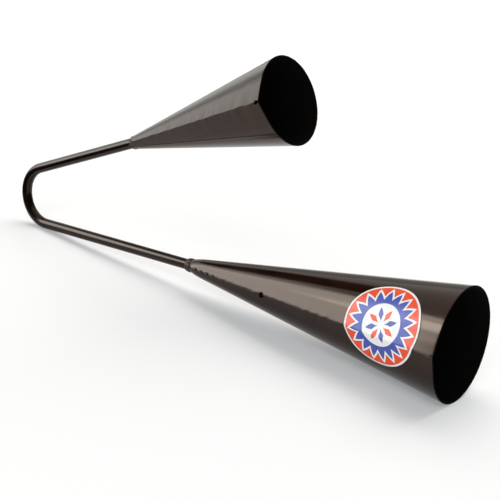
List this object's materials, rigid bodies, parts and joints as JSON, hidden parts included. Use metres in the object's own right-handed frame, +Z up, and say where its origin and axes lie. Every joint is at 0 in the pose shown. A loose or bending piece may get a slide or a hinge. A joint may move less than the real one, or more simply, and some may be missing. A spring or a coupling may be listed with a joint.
{
  "type": "agogo bell",
  "caption": "Hand percussion instrument: a high and a low conical sheet steel bell welded to the ends of a bent steel rod handle, black lacquered, with a round label.",
  "frame": {"origin": "on the rod's centre line in the middle of the handle's bend, where it is held and hung", "axes": "+X from the bend towards the bell mouths, level; +Z up in the plane of the V, towards the high bell; +Y away from the seams and the label. The part stands as on a table, on the handle's lower bend and the low bell's rim"},
  "size_m": [0.4056, 0.0834, 0.1881],
  "materials": {
    "rod_lacquer": "satin black-brown lacquer on steel bar",
    "bell_lacquer": "half-gloss black-brown lacquer on rolled steel sheet",
    "weld_lacquer": "uneven lacquer over weld metal",
    "label_print": "printed glossy film"
  },
  "bodies": {
    "root": {"handle_rod": "rod_lacquer", "high_bell_shell": "bell_lacquer", "high_bell_seam_weld": "weld_lacquer", "high_bell_throat_weld": "weld_lacquer", "high_bell_rim_tack": "weld_lacquer", "low_bell_shell": "bell_lacquer", "low_bell_seam_weld": "weld_lacquer", "low_bell_throat_weld": "weld_lacquer", "low_bell_rim_tack": "weld_lacquer", "low_bell_start_tack_1": "weld_lacquer", "low_bell_start_tack_2": "weld_lacquer", "low_bell_start_tack_3": "weld_lacquer", "low_bell_start_tack_4": "weld_lacquer", "low_bell_mid_tack": "weld_lacquer", "low_bell_label": "label_print"}
  },
  "joints": []
}
